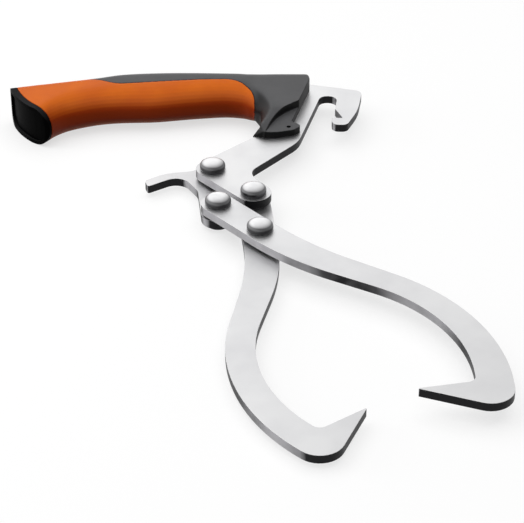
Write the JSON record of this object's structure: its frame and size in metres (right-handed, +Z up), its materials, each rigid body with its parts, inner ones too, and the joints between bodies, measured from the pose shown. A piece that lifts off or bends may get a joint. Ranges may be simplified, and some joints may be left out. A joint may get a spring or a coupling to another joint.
{
  "type": "log lifting tongs",
  "caption": "Hand tongs for lifting logs: pointed curved steel jaws on a riveted parallel linkage with a finger lever, carried by a moulded handle with a hooked plate.",
  "frame": {"origin": "under the middle of the closed tongs, on the surface that they lie on", "axes": "+X along the handle towards the hook, +Y from the jaws towards the handle, +Z up, square to the plates"},
  "size_m": [0.2844, 0.3664, 0.0254],
  "materials": {
    "plate_steel": "bright satin plated steel",
    "rivet_steel": "satin plated steel",
    "dark_plastic": "fine matt moulded plastic",
    "orange_rubber": "soft matt moulded rubber",
    "black_plastic": "matt moulded plastic"
  },
  "bodies": {
    "handle": {"handle_plate": "plate_steel", "handle_core": "dark_plastic", "soft_grip": "orange_rubber", "butt_cap": "black_plastic", "lever_rivet": "rivet_steel", "left_jaw_rivet": "rivet_steel", "lever_spacer": "rivet_steel", "left_jaw_spacer": "rivet_steel"},
    "left_jaw": {"left_jaw": "plate_steel"},
    "right_jaw": {"right_jaw": "plate_steel", "link_rivet": "rivet_steel", "crossing_rivet": "rivet_steel", "link_spacer": "rivet_steel", "crossing_spacer": "rivet_steel"},
    "finger_lever": {"finger_lever": "plate_steel"}
  },
  "joints": [
    {"name": "left_jaw_pivot", "type": "hinge", "parent": "handle", "child": "left_jaw", "pos_m": [0.01046, 0.04882, 0.00942], "axis": [0, 0, -1], "range_deg": [0, 65]},
    {"name": "right_jaw_pivot", "type": "hinge", "parent": "left_jaw", "child": "right_jaw", "pos_m": [0.01433, 0.01001, 0.00942], "axis": [0, 0, 1], "range_deg": [0, 65]},
    {"name": "finger_lever_pivot", "type": "hinge", "parent": "handle", "child": "finger_lever", "pos_m": [-0.01366, 0.07622, 0.00942], "axis": [0, 0, -1], "range_deg": [0, 65]}
  ],
  "couplings": [
    {"joint": "right_jaw_pivot", "follows": "left_jaw_pivot", "ratio": 1},
    {"joint": "finger_lever_pivot", "follows": "left_jaw_pivot", "ratio": 1}
  ]
}
